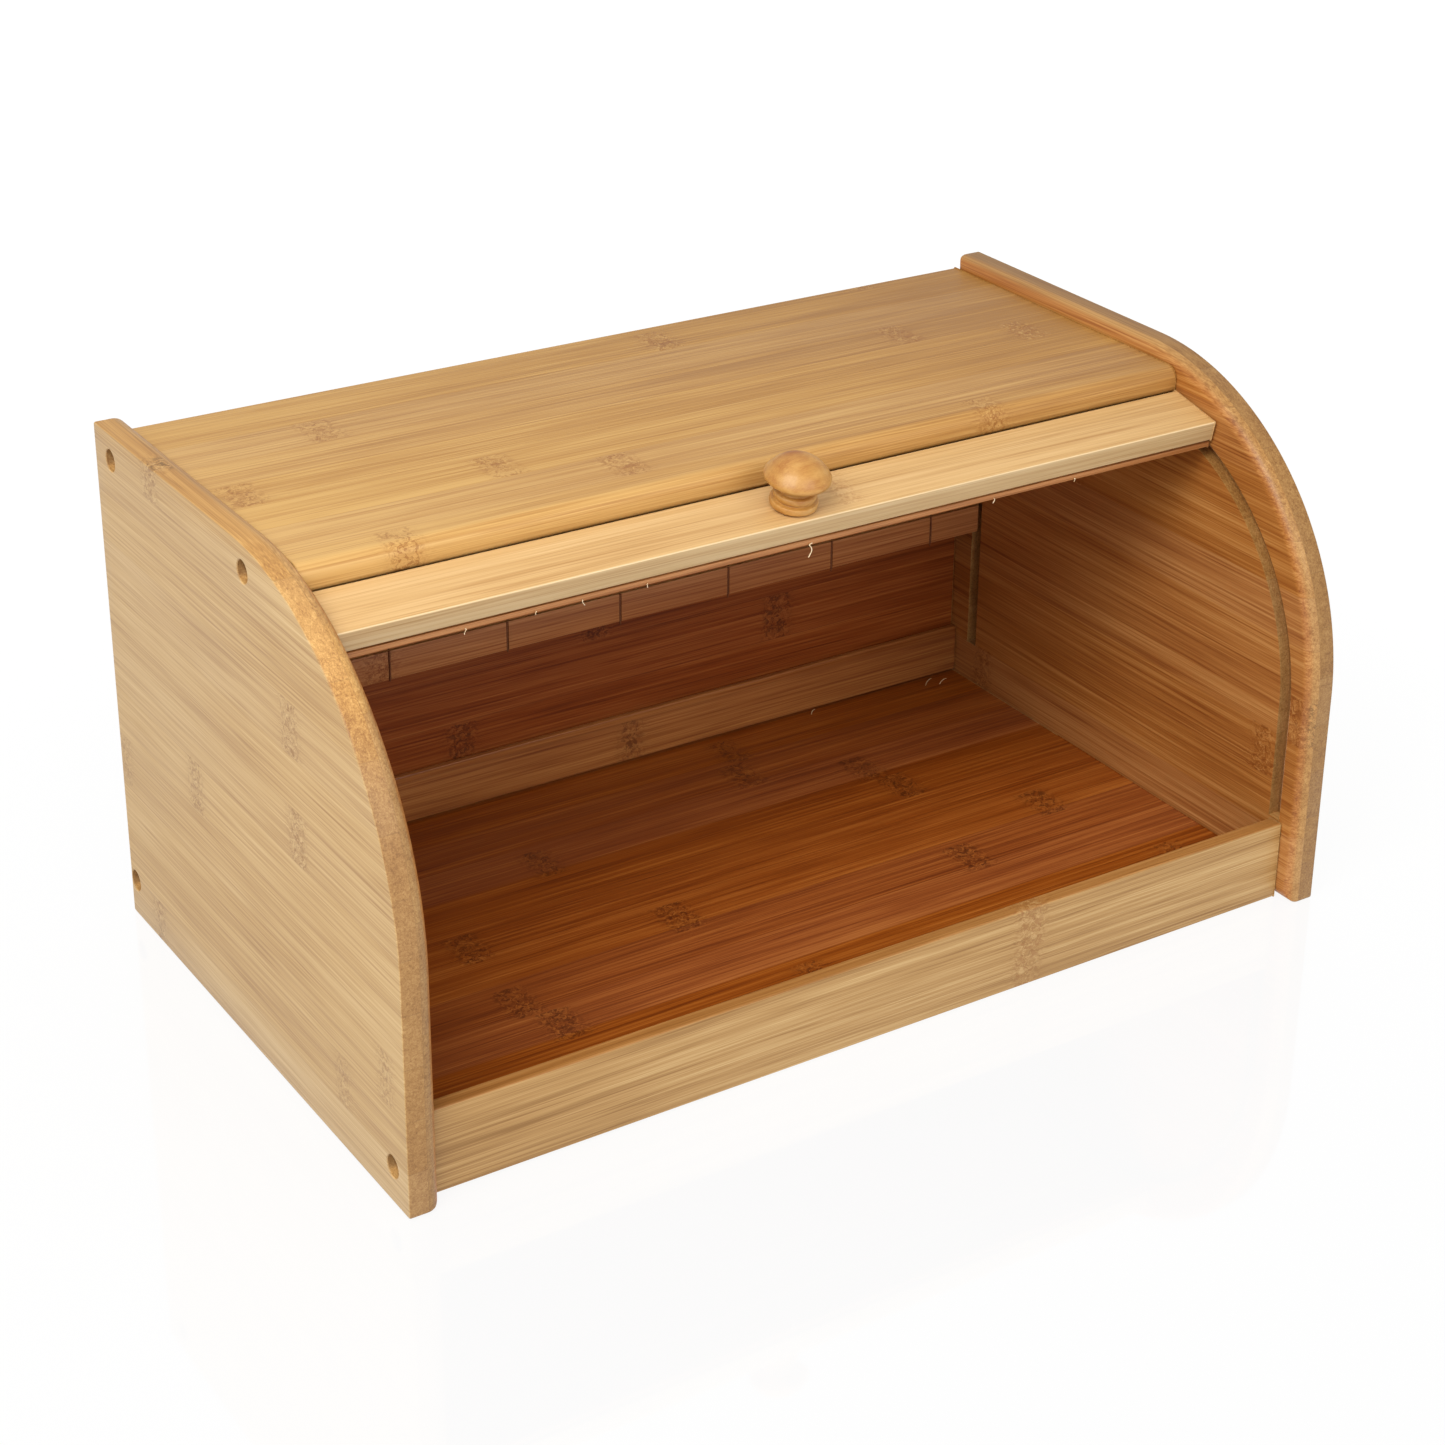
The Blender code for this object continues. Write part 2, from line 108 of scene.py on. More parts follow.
LEN_FRONT = ARC_Z + ARC_R * math.pi / 2
S_BACK_FOOT = (LEN_FRONT + BACK_Y - BACK_R - ARC_Y + BACK_R * math.pi / 2
               + TOP_Z - BACK_R - FOOT_BACK)


def bisect(f, lo, hi):
    for _ in range(60):
        mid = (lo + hi) / 2
        if f(mid):
            lo = mid
        else:
            hi = mid
    return (lo + hi) / 2


def walk(s0, pitch, count):
    s, pts = s0, [track_point(s0)]
    for _ in range(count):
        a = pts[-1]
        s = bisect(lambda m: math.hypot(track_point(m)[0] - a[0], track_point(m)[1] - a[1]) < pitch,
                   s + pitch * 0.9, s + pitch * 1.3)
        pts.append(track_point(s))
    return pts


S_OPEN = bisect(lambda s: track_point(s)[0] < PULL_Y, ARC_Z, LEN_FRONT)
PITCH = bisect(lambda p: walk(S_OPEN, p, SLATS)[-1][1] > TAIL_Z - SPLIT, 0.008, 0.024)
HINGE = walk(S_OPEN, PITCH, SLATS)


# ------------------------------------------------------------ mesh helpers
def rings(bm, loops, cap=True):
    rows = [[bm.verts.new(p) for p in loop] for loop in loops]
    n = len(rows[0])
    for a, b in zip(rows, rows[1:]):
        for k in range(n):
            bm.faces.new((a[k], a[(k + 1) % n], b[(k + 1) % n], b[k]))
    if cap:
        bm.faces.new(rows[0])
        bm.faces.new(list(reversed(rows[-1])))


def finish_mesh(name, bm, angle=30):
    bmesh.ops.recalc_face_normals(bm, faces=bm.faces)
    me = bpy.data.meshes.new(name)
    bm.to_mesh(me)
    bm.free()
    me.shade_smooth()
    me.set_sharp_from_angle(angle=math.radians(angle))
    ob = bpy.data.objects.new(name, me)
    scene.collection.objects.link(ob)
    return ob


def profile(y0, y1, z0, z1, radii, seg=5):
    """Rectangle with rounded corners: low front, low rear, high rear, high front."""
    pts = []
    for (cy, cz, a0), q in zip(((y0, z0, 180), (y1, z0, 270), (y1, z1, 0), (y0, z1, 90)), radii):
        sy, sz = (1 if cy == y0 else -1), (1 if cz == z0 else -1)
        n = seg if q < 0.002 else seg * 3
        for k in range(n + 1):
            a = math.radians(a0 + 90 * k / n)
            pts.append((cy + sy * q + q * math.cos(a), cz + sz * q + q * math.sin(a)))
    return pts


def bar(prof, x0, x1, ease, steps=4):
    """Straight bar along X whose ends are eased by a small quarter round."""
    bm = bmesh.new()
    cy = (min(p[0] for p in prof) + max(p[0] for p in prof)) / 2
    cz = (min(p[1] for p in prof) + max(p[1] for p in prof)) / 2

    def loop(x, inset):
        out = []
        for y, z in prof:
            dy, dz = y - cy, z - cz
            out.append((x, y - math.copysign(min(inset, abs(dy)), dy),
                        z - math.copysign(min(inset, abs(dz)), dz)))
        return out

    rows = []
    for k in range(steps + 1):
        a = math.radians(90 * k / steps)
        rows.append((x0 + ease * (1 - math.sin(a)), ease * (1 - math.cos(a))))
    loops = [loop(x, i) for x, i in reversed(rows)][::-1]
    loops += [loop(x0 + x1 - x, i) for x, i in reversed(rows)]
    rings(bm, loops)
    return bm


def lathe(prof, seg):
    """Turned solid about +Z; profile is (radius, height) from the axis to the axis."""
    bm = bmesh.new()
    ring = []
    for r, h in prof:
        if r < 1e-7:
            ring.append([bm.verts.new((0, 0, h))])
        else:
            ring.append([bm.verts.new((r * math.cos(2 * math.pi * k / seg),
                                       r * math.sin(2 * math.pi * k / seg), h)) for k in range(seg)])
    for a, b in zip(ring, ring[1:]):
        for k in range(seg):
            k2 = (k + 1) % seg
            if len(a) == 1:
                bm.faces.new((a[0], b[k], b[k2]))
            elif len(b) == 1:
                bm.faces.new((a[k], b[0], a[k2]))
            else:
                bm.faces.new((a[k], b[k], b[k2], a[k2]))
    return bm


def spline(points, per=6):
    """Smooth curve through (r, h) points, Catmull-Rom."""
    out = []
    p = [points[0]] + list(points) + [points[-1]]
    for i in range(1, len(p) - 2):
        for k in range(per):
            t = k / per
            q = []
            for a, b, c, d in zip(p[i - 1], p[i], p[i + 1], p[i + 2]):
                q.append(0.5 * (2 * b + (c - a) * t + (2 * a - 5 * b + 4 * c - d) * t * t
                                + (3 * b - a - 3 * c + d) * t ** 3))
            out.append(tuple(q))
    out.append(tuple(points[-1]))
    return out


def subtract(ob, cutters):
    """Cut the cutters out of ob, apply it, and remove the cutters."""
    for k, c in enumerate(cutters):
        m = ob.modifiers.new("cut%d" % k, "BOOLEAN")
        m.operation, m.solver, m.object = "DIFFERENCE", "EXACT", c
    dg = bpy.context.evaluated_depsgraph_get()
    me = bpy.data.meshes.new_from_object(ob.evaluated_get(dg))
    ob.modifiers.clear()
    old = ob.data
    ob.data = me
    bpy.data.meshes.remove(old)
    for c in cutters:
        mesh = c.data
        bpy.data.objects.remove(c)
        bpy.data.meshes.remove(mesh)
    me.shade_smooth()
    me.set_sharp_from_angle(angle=math.radians(30))


# --------------------------------------------------------------- materials
def lin(c):
    out = []
    for v in c:
        v = v / 255.0
        out.append(v / 12.92 if v <= 0.04045 else ((v + 0.055) / 1.055) ** 2.4)
    return (out[0], out[1], out[2], 1.0)


class Nodes:
    """Short-hand for building one material's node tree."""

    def __init__(self, name):
        self.mat = bpy.data.materials.new(name)
        self.mat.use_nodes = True
        self.t = self.mat.node_tree
        self.bsdf = self.t.nodes["Principled BSDF"]

    def put(self, socket, value):
        if isinstance(value, bpy.types.NodeSocket):
            self.t.links.new(value, socket)
        else:
            socket.default_value = value

    def node(self, kind, **inputs):
        n = self.t.nodes.new(kind)
        for k, v in inputs.items():
            self.put(n.inputs[k.replace("_", " ")], v)
        return n

    def math(self, op, a, b=None, c=None, clamp=False):
        n = self.t.nodes.new("ShaderNodeMath")
        n.operation, n.use_clamp = op, clamp
        for i, v in enumerate((a, b, c)):
            if v is not None:
                self.put(n.inputs[i], v)
        return n.outputs[0]

    def add(self, *v):
        out = v[0]
        for x in v[1:]:
            out = self.math("ADD", out, x)
        return out

    def mul(self, a, b):
        return self.math("MULTIPLY", a, b)

    def mad(self, a, b, c):
        return self.math("MULTIPLY_ADD", a, b, c)

    def remap(self, v, a, b, c=0.0, d=1.0, smooth=False):
        n = self.t.nodes.new("ShaderNodeMapRange")
        n.clamp = True
        n.interpolation_type = "SMOOTHSTEP" if smooth else "LINEAR"
        for i, x in enumerate((v, a, b, c, d)):
            self.put(n.inputs[i], x)
        return n.outputs[0]

    def vec(self, x, y, z):
        n = self.t.nodes.new("ShaderNodeCombineXYZ")
        for i, v in enumerate((x, y, z)):
            self.put(n.inputs[i], v)
        return n.outputs[0]

    def noise(self, v, scale=1.0, detail=2.0, rough=0.5, out="Factor"):
        n = self.t.nodes.new("ShaderNodeTexNoise")
        self.put(n.inputs["Vector"], v)
        n.inputs["Scale"].default_value = scale
        n.inputs["Detail"].default_value = detail
        n.inputs["Roughness"].default_value = rough
        return n.outputs[0] if out == "Factor" else n.outputs[1]

    def white(self, v):
        n = self.t.nodes.new("ShaderNodeTexWhiteNoise")
        n.noise_dimensions = "1D"
        self.put(n.inputs["W"], v)
        return n.outputs["Value"]

    def mix(self, f, a, b, mode="MIX"):
        n = self.t.nodes.new("ShaderNodeMix")
        n.data_type, n.blend_type = "RGBA", mode
        n.clamp_factor = True
        self.put(n.inputs["Factor"], f)
        self.put([s for s in n.inputs if s.name == "A" and s.type == "RGBA"][0], a)
        self.put([s for s in n.inputs if s.name == "B" and s.type == "RGBA"][0], b)
        return [s for s in n.outputs if s.type == "RGBA"][0]

    def ramp(self, f, stops):
        n = self.t.nodes.new("ShaderNodeValToRGB")
        self.put(n.inputs[0], f)
        e = n.color_ramp.elements
        while len(e) < len(stops):
            e.new(0.5)
        for el, (p, c) in zip(e, stops):
            el.position, el.color = p, c
        return n.outputs[0]

    def coords(self):
        tc = self.t.nodes.new("ShaderNodeTexCoord")
        s = self.t.nodes.new("ShaderNodeSeparateXYZ")
        self.t.links.new(tc.outputs["Object"], s.inputs[0])
        return s.outputs[0], s.outputs[1], s.outputs[2]

    def normal(self):
        g = self.t.nodes.new("ShaderNodeTexCoord")
        s = self.t.nodes.new("ShaderNodeSeparateXYZ")
        self.t.links.new(g.outputs["Normal"], s.inputs[0])
        return s.outputs[0], s.outputs[1], s.outputs[2]

    def bump(self, height, strength, distance):
        n = self.node("ShaderNodeBump")
        n.inputs["Strength"].default_value = strength
        n.inputs["Distance"].default_value = distance
        self.put(n.inputs["Height"], height)
        self.put(self.bsdf.inputs["Normal"], n.outputs[0])


def bamboo(name, colours, grain="X", pitch=0.021, phase=0.0, seed=0.0, tone=0.14, streak=1.0,
           marks=(), mark_dark=(120, 66, 28), rough=0.46, coat=0.10, ply=None, colours_in=None,
           front=None, top=None, mark_in=None, edge=None,
           edge_outer=(1.0, 1.0, 1.0), painted_edge_highlight=0.0, light_falloff=0.0,
           colours_out=None):
    """Laminated bamboo.

    colours: dark, middle and light sRGB of the strips.  grain: the axis the
    fibres run along ("Xz" has its strips stacked in Z).  pitch and phase: the
    strips' width and where they start.  ply: |x| of the glue line of a
    two-ply side panel, whose inner ply has colours_in; marks are (along,
    across, strength, ply) of the bamboo's nodes.  front and top: tint of the
    faces that look forwards and up, (r, g, b, how much the fibre ends show).
    """
    g = Nodes(name)
    x, y, z = g.coords()
    if grain == "X":
        u, v, w = x, y, z
    else:
        u, v, w = y, z, x
    if grain == "Xz":
        u, v, w = x, z, y
    inner = None
    if ply:
        # 1 on the ply nearer the box's inside
        inner = g.math("LESS_THAN", g.math("ABSOLUTE", w), ply)
        v = g.mad(inner, 0.0087, v)
    strip = g.math("FLOOR", g.math("DIVIDE", g.math("SUBTRACT", v, phase), pitch))
    key = g.add(g.mul(strip, 1.37), seed) if inner is None else g.add(g.mul(strip, 1.37), g.mul(inner, 41.3), seed)
    r1 = g.white(key)
    r2 = g.white(g.add(key, 17.31))
    r3 = g.white(g.add(key, 5.77))
    # marks of the bamboo's nodes: a mask that is 1 in the middle of each
    mask = None
    for mu, mv, ms, mp in marks:
        du = g.math("DIVIDE", g.math("SUBTRACT", u, mu), 0.0068)
        dv = g.math("DIVIDE", g.math("ABSOLUTE", g.math("SUBTRACT", v, mv + (0.0087 if mp else 0.0))), 0.0100)
        m = g.mul(g.math("POWER", 2.71828, g.mul(g.mul(du, du), -1.0)), g.remap(dv, 0.99, 1.06, ms, 0.0))
        if inner is not None:
            m = g.mul(m, inner if mp else g.math("SUBTRACT", 1.0, inner))
        mask = m if mask is None else g.math("MAXIMUM", mask, m)
    # fibres bow and curl where a node is
    uu, vv = u, v
    if mask is not None:
        curl = g.noise(g.vec(g.mul(u, 300.0), g.mul(v, 420.0), g.mul(w, 420.0)), 1.0, 2.0, 0.6, "Color")
        s = g.t.nodes.new("ShaderNodeSeparateXYZ")
        g.t.links.new(curl, s.inputs[0])
        vv = g.mad(g.mul(mask, g.math("SUBTRACT", s.outputs[0], 0.5)), 0.0085, v)
        uu = g.mad(g.mul(mask, g.math("SUBTRACT", s.outputs[1], 0.5)), 0.012, u)
    wob = g.noise(g.vec(g.mul(u, 6.0), g.mul(v, 60.0), g.mul(w, 60.0)), 1.0, 1.0)
    vv = g.mad(g.math("SUBTRACT", wob, 0.5), 0.0014, vv)
    uo = g.mad(r2, 3.7, uu)
    s1 = g.noise(g.vec(g.mul(uo, 4.0), g.mul(vv, 300.0), g.mul(w, 300.0)), 1.0, 3.0, 0.55)
    s2 = g.noise(g.vec(g.mul(uo, 9.0), g.mul(vv, 1050.0), g.mul(w, 1050.0)), 1.0, 2.0, 0.6)
    s3 = g.noise(g.vec(g.mul(uo, 30.0), g.mul(vv, 2700.0), g.mul(w, 2700.0)), 1.0, 1.0, 0.5)
    line = g.noise(g.vec(g.mul(uo, 6.5), g.mul(vv, 620.0), g.mul(w, 620.0)), 1.0, 1.0)
    line = g.remap(g.math("ABSOLUTE", g.math("SUBTRACT", line, 0.5)), 0.0, 0.055, 1.0, 0.0, True)
    cloud = g.noise(g.vec(g.mul(uo, 7.0), g.mul(vv, 42.0), g.mul(w, 42.0)), 1.0, 2.0, 0.5)
    val = g.mad(g.math("SUBTRACT", s1, 0.5), 0.62 * streak, 0.5)
    val = g.mad(g.math("SUBTRACT", s2, 0.5), 0.85 * streak, val)
    val = g.mad(g.math("SUBTRACT", s3, 0.5), 0.60 * streak, val)
    val = g.mad(line, -0.13 * streak, val)
    val = g.mad(g.math("SUBTRACT", cloud, 0.5), 0.40, val)
    val = g.mad(g.math("SUBTRACT", r1, 0.5), tone, val)
    if light_falloff:
        # painted shade: the boards darken along the grain towards the end further from the key light
        val = g.mad(u, light_falloff, val)
    nx, ny, nz = g.normal()
    facing = g.remap(ny, -0.35, -0.75, 0.0, 1.0, True)
    upward = g.remap(nz, 0.45, 0.85, 0.0, 1.0, True)
    if front and front[3]:
        # cut ends of the fibres: fine speckle
        sp = g.noise(g.vec(g.mul(u, 900.0), g.mul(v, 1500.0), g.mul(w, 1500.0)), 1.0, 2.0, 0.7)
        val = g.mad(g.mul(facing, g.math("SUBTRACT", sp, 0.5)), front[3], val)
        if ply:
            slant = g.mul(upward, g.remap(ny, -0.12, -0.30, 0.0, 1.0, True))
            val = g.mad(g.mul(slant, g.math("SUBTRACT", sp, 0.5)), front[3], val)

    def palette(c):
        return g.ramp(val, [(0.14, lin(c[0])), (0.47, lin(c[1])), (0.84, lin(c[2]))])

    col = palette(colours)
    # painted shade: the inner ply, whose face looks into the box, takes the darker, redder colours_in
    if colours_in:
        col = g.mix(inner, col, palette(colours_in))
    away = None
    if colours_out:
        # painted shade: faces inside the box keep the darker, redder palette; the side away from the box's inside gets
        # the pale colours of the outer boards
        away = g.math("GREATER_THAN", g.add(g.mul(ny, g.math("SUBTRACT", y, 0.03)),
                                            g.mul(nz, g.math("SUBTRACT", z, 0.08))), 0.0)
        col = g.mix(away, col, palette(colours_out))
    if edge:
        # everything but the two flat faces shows cut edges: both plies alike, the outer a little browner
        rim = g.remap(g.math("ABSOLUTE", nx), 0.93, 0.45, 0.0, 1.0, True)
        both = palette(edge)
        both = g.mix(g.math("SUBTRACT", 1.0, inner), both, g.mix(1.0, both, edge_outer + (1.0,), "MULTIPLY"))
        col = g.mix(rim, col, both)
        dark_edge = g.mul(rim, 1.0)
    hue = g.node("ShaderNodeHueSaturation")
    g.put(hue.inputs["Color"], col)
    g.put(hue.inputs["Saturation"], g.remap(r3, 0.0, 1.0, 0.975, 1.02))
    col = hue.outputs[0]
    # front tints: on the pull rail the greyer colour of its cut face; on the side panels painted light and shade, a
    # little lighter on the left panel and darker on the right
    if front:
        col = g.mix(facing, col, g.mix(1.0, col, front[:3] + (1.0,), "MULTIPLY"))
    # painted light and shade: faces that look up are tinted brighter or darker by how the light falls on them
    if top:
        col = g.mix(upward, col, g.mix(1.0, col, top[:3] + (1.0,), "MULTIPLY"))
    dark_col = lin(mark_dark)
    # painted shade: marks on the inner ply, inside the box, take the darker mark_in
    if mark_in:
        dark_col = g.mix(inner, lin(mark_dark), lin(mark_in))
    # painted shade: marks on the outside faces are paler than those on the faces inside the box
    if away is not None:
        dark_col = g.mix(away, dark_col, lin((138, 84, 36)))
    if edge:
        dark_col = g.mix(dark_edge, dark_col, lin(tuple(c * 0.74 for c in edge[0])))
    if painted_edge_highlight:
        # painted highlight: the rounded arrises between the flat faces are lightened towards pale cream as the light
        # line along them
        flat = g.math("MAXIMUM", g.math("ABSOLUTE", g.add(g.mul(ny, math.cos(PULL_TILT)), g.mul(nz, math.sin(PULL_TILT)))),
                      g.math("ABSOLUTE", g.add(g.mul(nz, math.cos(PULL_TILT)), g.mul(ny, -math.sin(PULL_TILT)))))
        edge_highlight_mask = g.mul(g.remap(flat, 0.97, 0.90, 0.0, painted_edge_highlight, True), g.remap(g.math("ABSOLUTE", nx), 0.6, 0.5, 0.0, 1.0, True))
        col = g.mix(g.mul(edge_highlight_mask, 0.55), col, lin((240, 214, 168)))
    # thin dark glue lines between strips
    f = g.math("FRACT", g.math("DIVIDE", g.math("SUBTRACT", v, phase), pitch))
    seam = g.math("SUBTRACT", 1.0, g.remap(g.math("MINIMUM", f, g.math("SUBTRACT", 1.0, f)), 0.0, 0.014, 0.0, 1.0))
    if inner is not None:
        glue = g.remap(g.math("ABSOLUTE", g.math("SUBTRACT", g.math("ABSOLUTE", w), ply)), 0.0, 0.00022, 1.0, 0.0)
        seam = g.math("MAXIMUM", seam, glue)
    col = g.mix(g.mul(seam, g.remap(s1, 0.38, 0.62, 0.04, 0.42)), col, dark_col)
    height = g.add(g.mul(s2, 0.6), g.mul(s3, 0.5), g.mul(seam, -0.6), g.mul(line, -0.25))
    if mask is not None:
        # a soft brown stain, dark curled flecks across the grain and a few pale ones
        fl = g.noise(g.vec(g.mul(uu, 760.0), g.mul(vv, 430.0), g.mul(w, 430.0)), 1.0, 2.0, 0.6)
        halo = g.mul(mask, g.remap(cloud, 0.3, 0.7, 0.12, 0.30))
        col = g.mix(halo, col, dark_col)
        dark = g.mul(g.remap(mask, 0.15, 0.60), g.remap(fl, 0.52, 0.60))
        col = g.mix(g.mul(dark, 0.62), col, dark_col)
        pale = g.mul(g.remap(mask, 0.20, 0.7), g.remap(fl, 0.44, 0.37))
        col = g.mix(g.mul(pale, 0.50), col, lin(colours[2]) if not colours_in else g.mix(inner, lin(colours[2]), lin(colours_in[2])))
        height = g.add(height, g.mul(g.mul(mask, fl), 1.4))
    g.put(g.bsdf.inputs["Base Color"], col)
    g.put(g.bsdf.inputs["Roughness"], g.mad(g.math("SUBTRACT", s1, 0.5), 0.20, rough))
    g.bsdf.inputs["Specular IOR Level"].default_value = 0.35
    g.bsdf.inputs["Coat Weight"].default_value = coat
    g.bsdf.inputs["Coat Roughness"].default_value = 0.30
    g.bump(height, 0.35, 0.00012)
    return g.mat


def row(phase, pitch, k):
    return phase + pitch * (k + 0.5)


# top panel: strips run along X, 21.3 mm wide
TP, TPH = 0.0213, 0.0060 - 0.0213 * 2
top_marks = [(-0.128, row(TPH, TP, 5), 0.95, 0), (-0.178, row(TPH, TP, 3), 0.9, 0), (-0.089, row(TPH, TP, 2), 0.85, 0),
             (-0.050, row(TPH, TP, 1), 0.9, 0), (0.029, row(TPH, TP, 6), 1.0, 0), (0.137, row(TPH, TP, 7), 0.8, 0),
             (0.116, row(TPH, TP, 4), 0.85, 0), (0.163, row(TPH, TP, 3), 0.9, 0), (-0.148, row(TPH, TP, 0), 0.8, 0),
             (0.098, row(TPH, TP, 0), 0.7, 0)]
# painted shade: the top board darkens towards +X, away from the key light
M_TOP = bamboo("bamboo_top", ((158, 110, 52), (182, 134, 70), (205, 162, 96)), "X", TP, TPH, 3.0,
               marks=top_marks, mark_dark=(140, 84, 32), tone=0.13, coat=0.04, light_falloff=-1.3)

# side panels: strips run along Y, two plies, 20.2 mm wide
SP, SPH = 0.0202, 0.0177 - 0.0202
OUT = ((160, 120, 72), (190, 154, 102), (211, 180, 130))
# IN: darker, redder colours of the inner ply, which faces into the box: painted shade of the box's inside, as are the
# darker mark_in colours below
IN = ((134, 72, 26), (172, 110, 50), (202, 146, 82))
left_marks = [(-0.0428, row(SPH, SP, 7), 0.85, 0), (-0.044, row(SPH, SP, 5), 0.9, 0), (0.044, row(SPH, SP, 4), 0.75, 0),
              (-0.1045, row(SPH, SP, 2), 0.5, 0), (-0.0708, row(SPH, SP, 1), 0.5, 0), (0.091, row(SPH, SP, 0), 0.6, 0),
              (0.1125, row(SPH, SP, 3), 0.5, 0), (0.067, 0.2010, 0.8, 0),
              (0.020, 0.060, 0.7, 1), (-0.060, 0.120, 0.7, 1), (0.070, 0.142, 0.7, 1)]
EDGE = ((124, 86, 48), (150, 112, 66), (172, 136, 88))
# painted light and shade on the side panels' edges: SIDE_FRONT lightens the left panel's front faces a little and
# SIDE_TOP brightens its upward faces as a painted highlight; the right panel's top and front tints below darken its
# edges as painted shade
SIDE_FRONT, SIDE_TOP = (1.04, 1.02, 0.98, 0.6), (1.55, 1.55, 1.40, 0.0)
M_LEFT = bamboo("bamboo_side_left", OUT, "Y", SP, SPH, 8.0, tone=0.07, streak=0.85, marks=left_marks,
                mark_dark=(138, 96, 54), ply=0.1928, rough=0.50, colours_in=IN, front=SIDE_FRONT, top=SIDE_TOP,
                mark_in=(100, 48, 18), edge=EDGE, edge_outer=(1.04, 1.02, 0.98))
right_marks = [(0.02, row(SPH, SP, 7), 0.8, 0), (-0.07, row(SPH, SP, 3), 0.8, 0), (0.08, row(SPH, SP, 2), 0.7, 0),
               (-0.010, row(SPH, SP, 5), 0.7, 0), (0.060, row(SPH, SP, 8), 0.7, 0),
               (-0.1135, 0.0790, 1.0, 1), (-0.0955, 0.0600, 0.8, 1), (0.0865, 0.0200, 0.8, 1), (0.030, 0.140, 0.5, 1)]
M_RIGHT = bamboo("bamboo_side_right", OUT, "Y", SP, SPH, 21.0, tone=0.09, streak=0.95, marks=right_marks,
                 mark_dark=(138, 96, 54), ply=0.1928, colours_in=IN, front=(0.96, 0.92, 0.84, 0.55),
                 top=(1.0, 0.95, 0.84, 0.0), mark_in=(122, 62, 18), edge=((142, 98, 50), (172, 128, 74), (196, 154, 98)),
                 edge_outer=(0.78, 0.78, 0.78))
M_GROOVE = bamboo("bamboo_groove", ((172, 118, 82), (206, 156, 116), (226, 186, 148)), "Y", 0.0202, 0.0177 - 0.0202, 90.0,
                  tone=0.10, mark_dark=(84, 46, 24), rough=0.62, coat=0.0)

# floor, back and the strip along it: dark red-brown on their faces inside the box as painted shade, PALE on their outer
# faces
PALE = ((150, 106, 54), (180, 136, 78), (204, 166, 108))
FP, FPH = 0.0212, 0.106 - 0.0212 * 10
floor_marks = [(0.0507, 0.0705, 1.0, 0), (0.058, 0.0918, 0.7, 0), (-0.0567, 0.0493, 0.8, 0), (0.098, 0.0493, 0.9, 0),
               (0.103, 0.0281, 1.0, 0), (-0.1117, 0.0069, 0.9, 0), (-0.0325, -0.0143, 1.0, 0), (0.1445, -0.0143, 0.9, 0),
               (0.091, -0.0355, 0.9, 0), (-0.114, -0.0355, 0.8, 0), (-0.107, -0.0567, 1.0, 0), (-0.010, -0.0779, 0.7, 0),
               (0.1645, -0.0779, 0.7, 0)]
M_FLOOR = bamboo("bamboo_floor", ((108, 47, 11), (147, 75, 22), (184, 111, 46)), "X", FP, FPH, 5.0,
                 marks=floor_marks, mark_dark=(62, 24, 6), tone=0.10, coat=0.05, colours_out=PALE)
M_BACK = bamboo("bamboo_back", ((98, 40, 12), (138, 68, 26), (172, 102, 50)), "Xz", 0.0212, 0.0065, 12.0,
                marks=[(0.003, 0.0806, 0.9, 0), (0.093, 0.0594, 1.0, 0), (-0.120, 0.123, 0.9, 0), (0.12, 0.144, 0.8, 0),
                       (-0.06, 0.038, 0.8, 0), (-0.02, 0.165, 0.8, 0)],
                mark_dark=(60, 24, 8), tone=0.12, colours_out=PALE)
M_STRIP = bamboo("bamboo_back_strip", ((122, 64, 26), (160, 98, 46), (188, 128, 68)), "Xz", 0.05, -0.02, 31.0,
                 mark_dark=(80, 36, 12), tone=0.1, marks=[(0.018, 0.0200, 0.6, 0)])
# front rail and pull rail, one strip each; the front rail's upward faces are tinted darker orange as painted shade, and
# the pull rail's rounded arrises get a painted highlight
M_RAIL = bamboo("bamboo_front_rail", ((138, 98, 48), (172, 132, 78), (198, 163, 110)), "Xz", 0.0600, -0.010, 44.0,
                marks=[(0.0625, 0.0080, 0.8, 0), (0.0640, 0.0255, 0.9, 0)], mark_dark=(146, 98, 50), tone=0.1,
                top=(0.86, 0.66, 0.46, 0.0))
M_PULL = bamboo("bamboo_pull", ((176, 130, 74), (204, 163, 106), (222, 186, 134)), "X", 0.09, -0.09, 52.0,
                marks=[(0.0190, -0.0400, 0.45, 0)], mark_dark=(166, 108, 54), tone=0.1, streak=0.75,
                front=(0.84, 0.94, 1.16, 0.0), painted_edge_highlight=1.0)
M_TONGUE = bamboo("bamboo_tongue", ((138, 84, 42), (174, 116, 66), (204, 150, 98)), "X", 0.09, -0.09, 61.0,
                  tone=0.1, mark_dark=(130, 72, 40))


def slat_material(i):
    rnd = random.Random(100 + i)
    d = rnd.uniform(-7, 7)
    # painted shade: cols, the darker, redder colours, are for the slat faces inside the box; out is the pale colour of
    # their outer faces
    cols = [tuple(c + d for c in base) for base in ((140, 76, 34), (176, 112, 58), (200, 142, 84))]
    marks = [(rnd.uniform(-0.17, 0.17), HINGE[i - 1][0] * 0.5 + HINGE[i][0] * 0.5, 0.8, 0)]
    out = [tuple(c + d for c in base) for base in ((152, 106, 54), (184, 138, 78), (208, 168, 108))]
    return bamboo("bamboo_slat_%02d" % i, cols, "X", 0.5, -0.25, 70.0 + i * 1.9, tone=0.1, mark_dark=(116, 60, 26),
                  marks=marks, colours_out=out)


